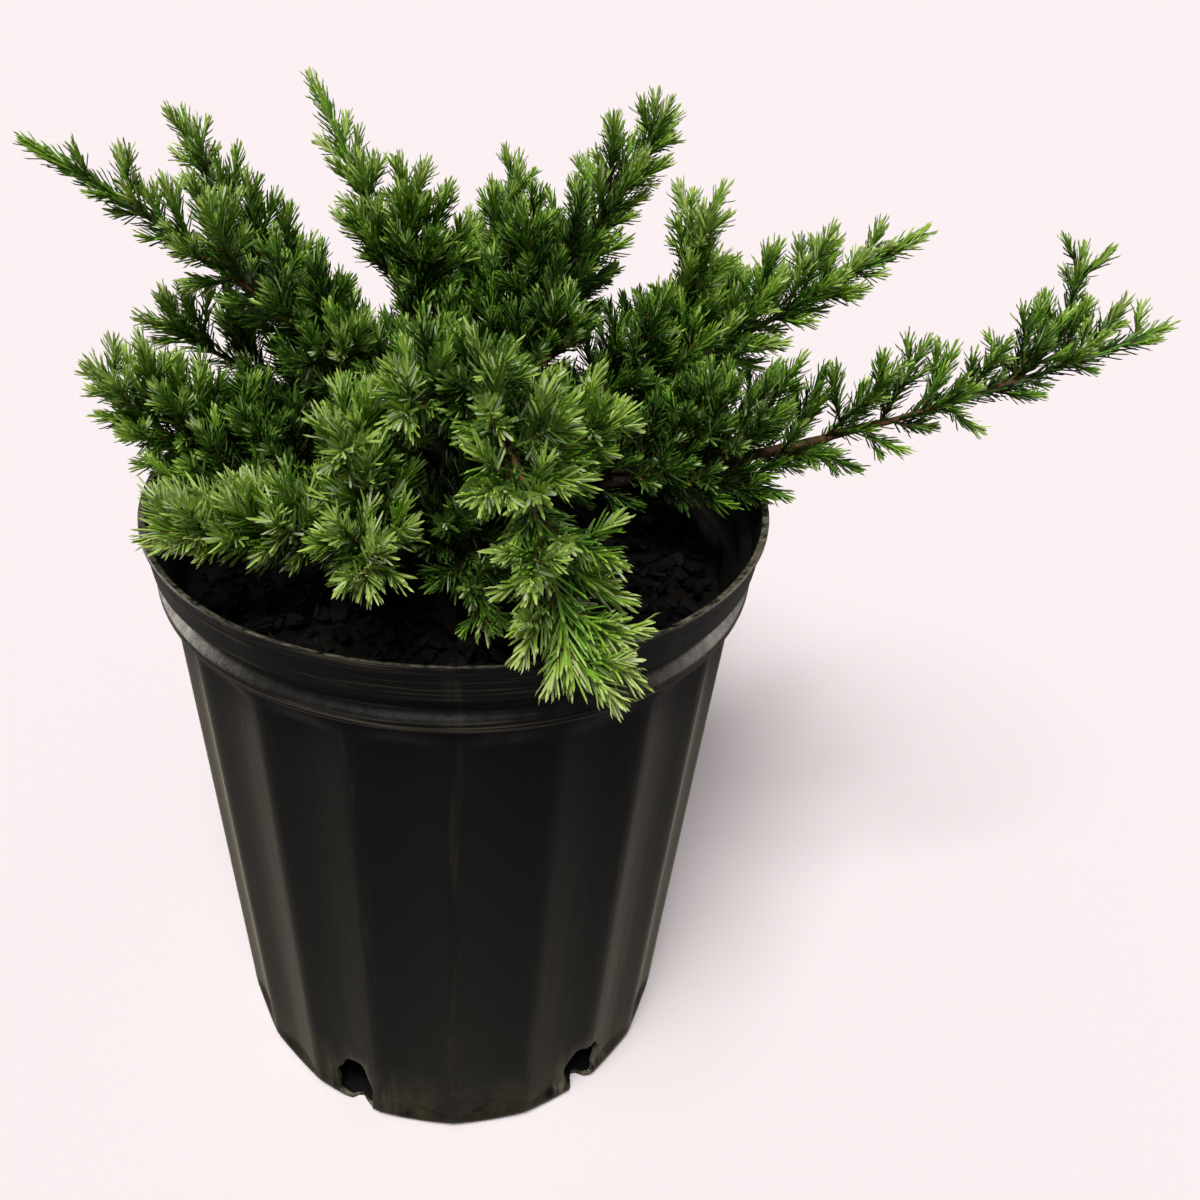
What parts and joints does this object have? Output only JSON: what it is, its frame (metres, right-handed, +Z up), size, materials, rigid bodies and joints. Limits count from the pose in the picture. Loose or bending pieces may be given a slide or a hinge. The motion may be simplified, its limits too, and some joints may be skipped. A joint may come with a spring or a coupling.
{
  "type": "potted conifer",
  "caption": "Low spreading conifer with prickly needle sprays on arching boughs, growing in a round fluted black plastic nursery pot; it stands on the flat underside of the pot.",
  "frame": {"origin": "middle of the pot's flat underside", "axes": "+Z up, +X towards the long right-hand shoot, -Y towards the front of the plant"},
  "size_m": [0.3024, 0.2048, 0.2856],
  "materials": {
    "pot_plastic": "satin black moulded polyolefin, dusty in the flutes",
    "growing_mix": "loose dark composted bark, matte",
    "bark": "thin red-brown juvenile bark, matte with fine flakes",
    "needles": "waxy needles, satin"
  },
  "bodies": {
    "root": {"pot": "pot_plastic", "soil": "growing_mix", "trunk": "bark", "bough_left_arch": "bark", "bough_left_upper": "bark", "bough_middle_front": "bark", "bough_tall_left": "bark", "bough_tall_left_fork": "bark", "bough_back_middle": "bark", "bough_back_low": "bark", "bough_tall_right": "bark", "bough_tall_right_fork": "bark", "bough_back_right_low": "bark", "bough_middle_right": "bark", "bough_right_reach": "bark", "bough_right_upright": "bark", "bough_right_back_low": "bark", "bough_right_long": "bark", "bough_right_inner": "bark", "bough_left_middle": "bark", "bough_left_inner": "bark", "bough_back_left_low": "bark", "bough_left_low": "bark", "bough_left_low_fork": "bark", "bough_front_left": "bark", "bough_front_left_fork": "bark", "bough_front_left_upper": "bark", "bough_front_low": "bark", "bough_front_drape": "bark", "bough_front_drape_fork": "bark", "bough_front_upper": "bark", "foliage_left_arch": "needles", "foliage_left_upper": "needles", "foliage_middle_front": "needles", "foliage_tall_left": "needles", "foliage_tall_left_fork": "needles", "foliage_back_middle": "needles", "foliage_back_low": "needles", "foliage_tall_right": "needles", "foliage_tall_right_fork": "needles", "foliage_back_right_low": "needles", "foliage_middle_right": "needles", "foliage_right_reach": "needles", "foliage_right_upright": "needles", "foliage_right_back_low": "needles", "foliage_right_long": "needles", "foliage_right_inner": "needles", "foliage_left_middle": "needles", "foliage_left_inner": "needles", "foliage_back_left_low": "needles", "foliage_left_low": "needles", "foliage_left_low_fork": "needles", "foliage_front_left": "needles", "foliage_front_left_fork": "needles", "foliage_front_left_upper": "needles", "foliage_front_low": "needles", "foliage_front_drape": "needles", "foliage_front_drape_fork": "needles", "foliage_front_upper": "needles"}
  },
  "joints": []
}
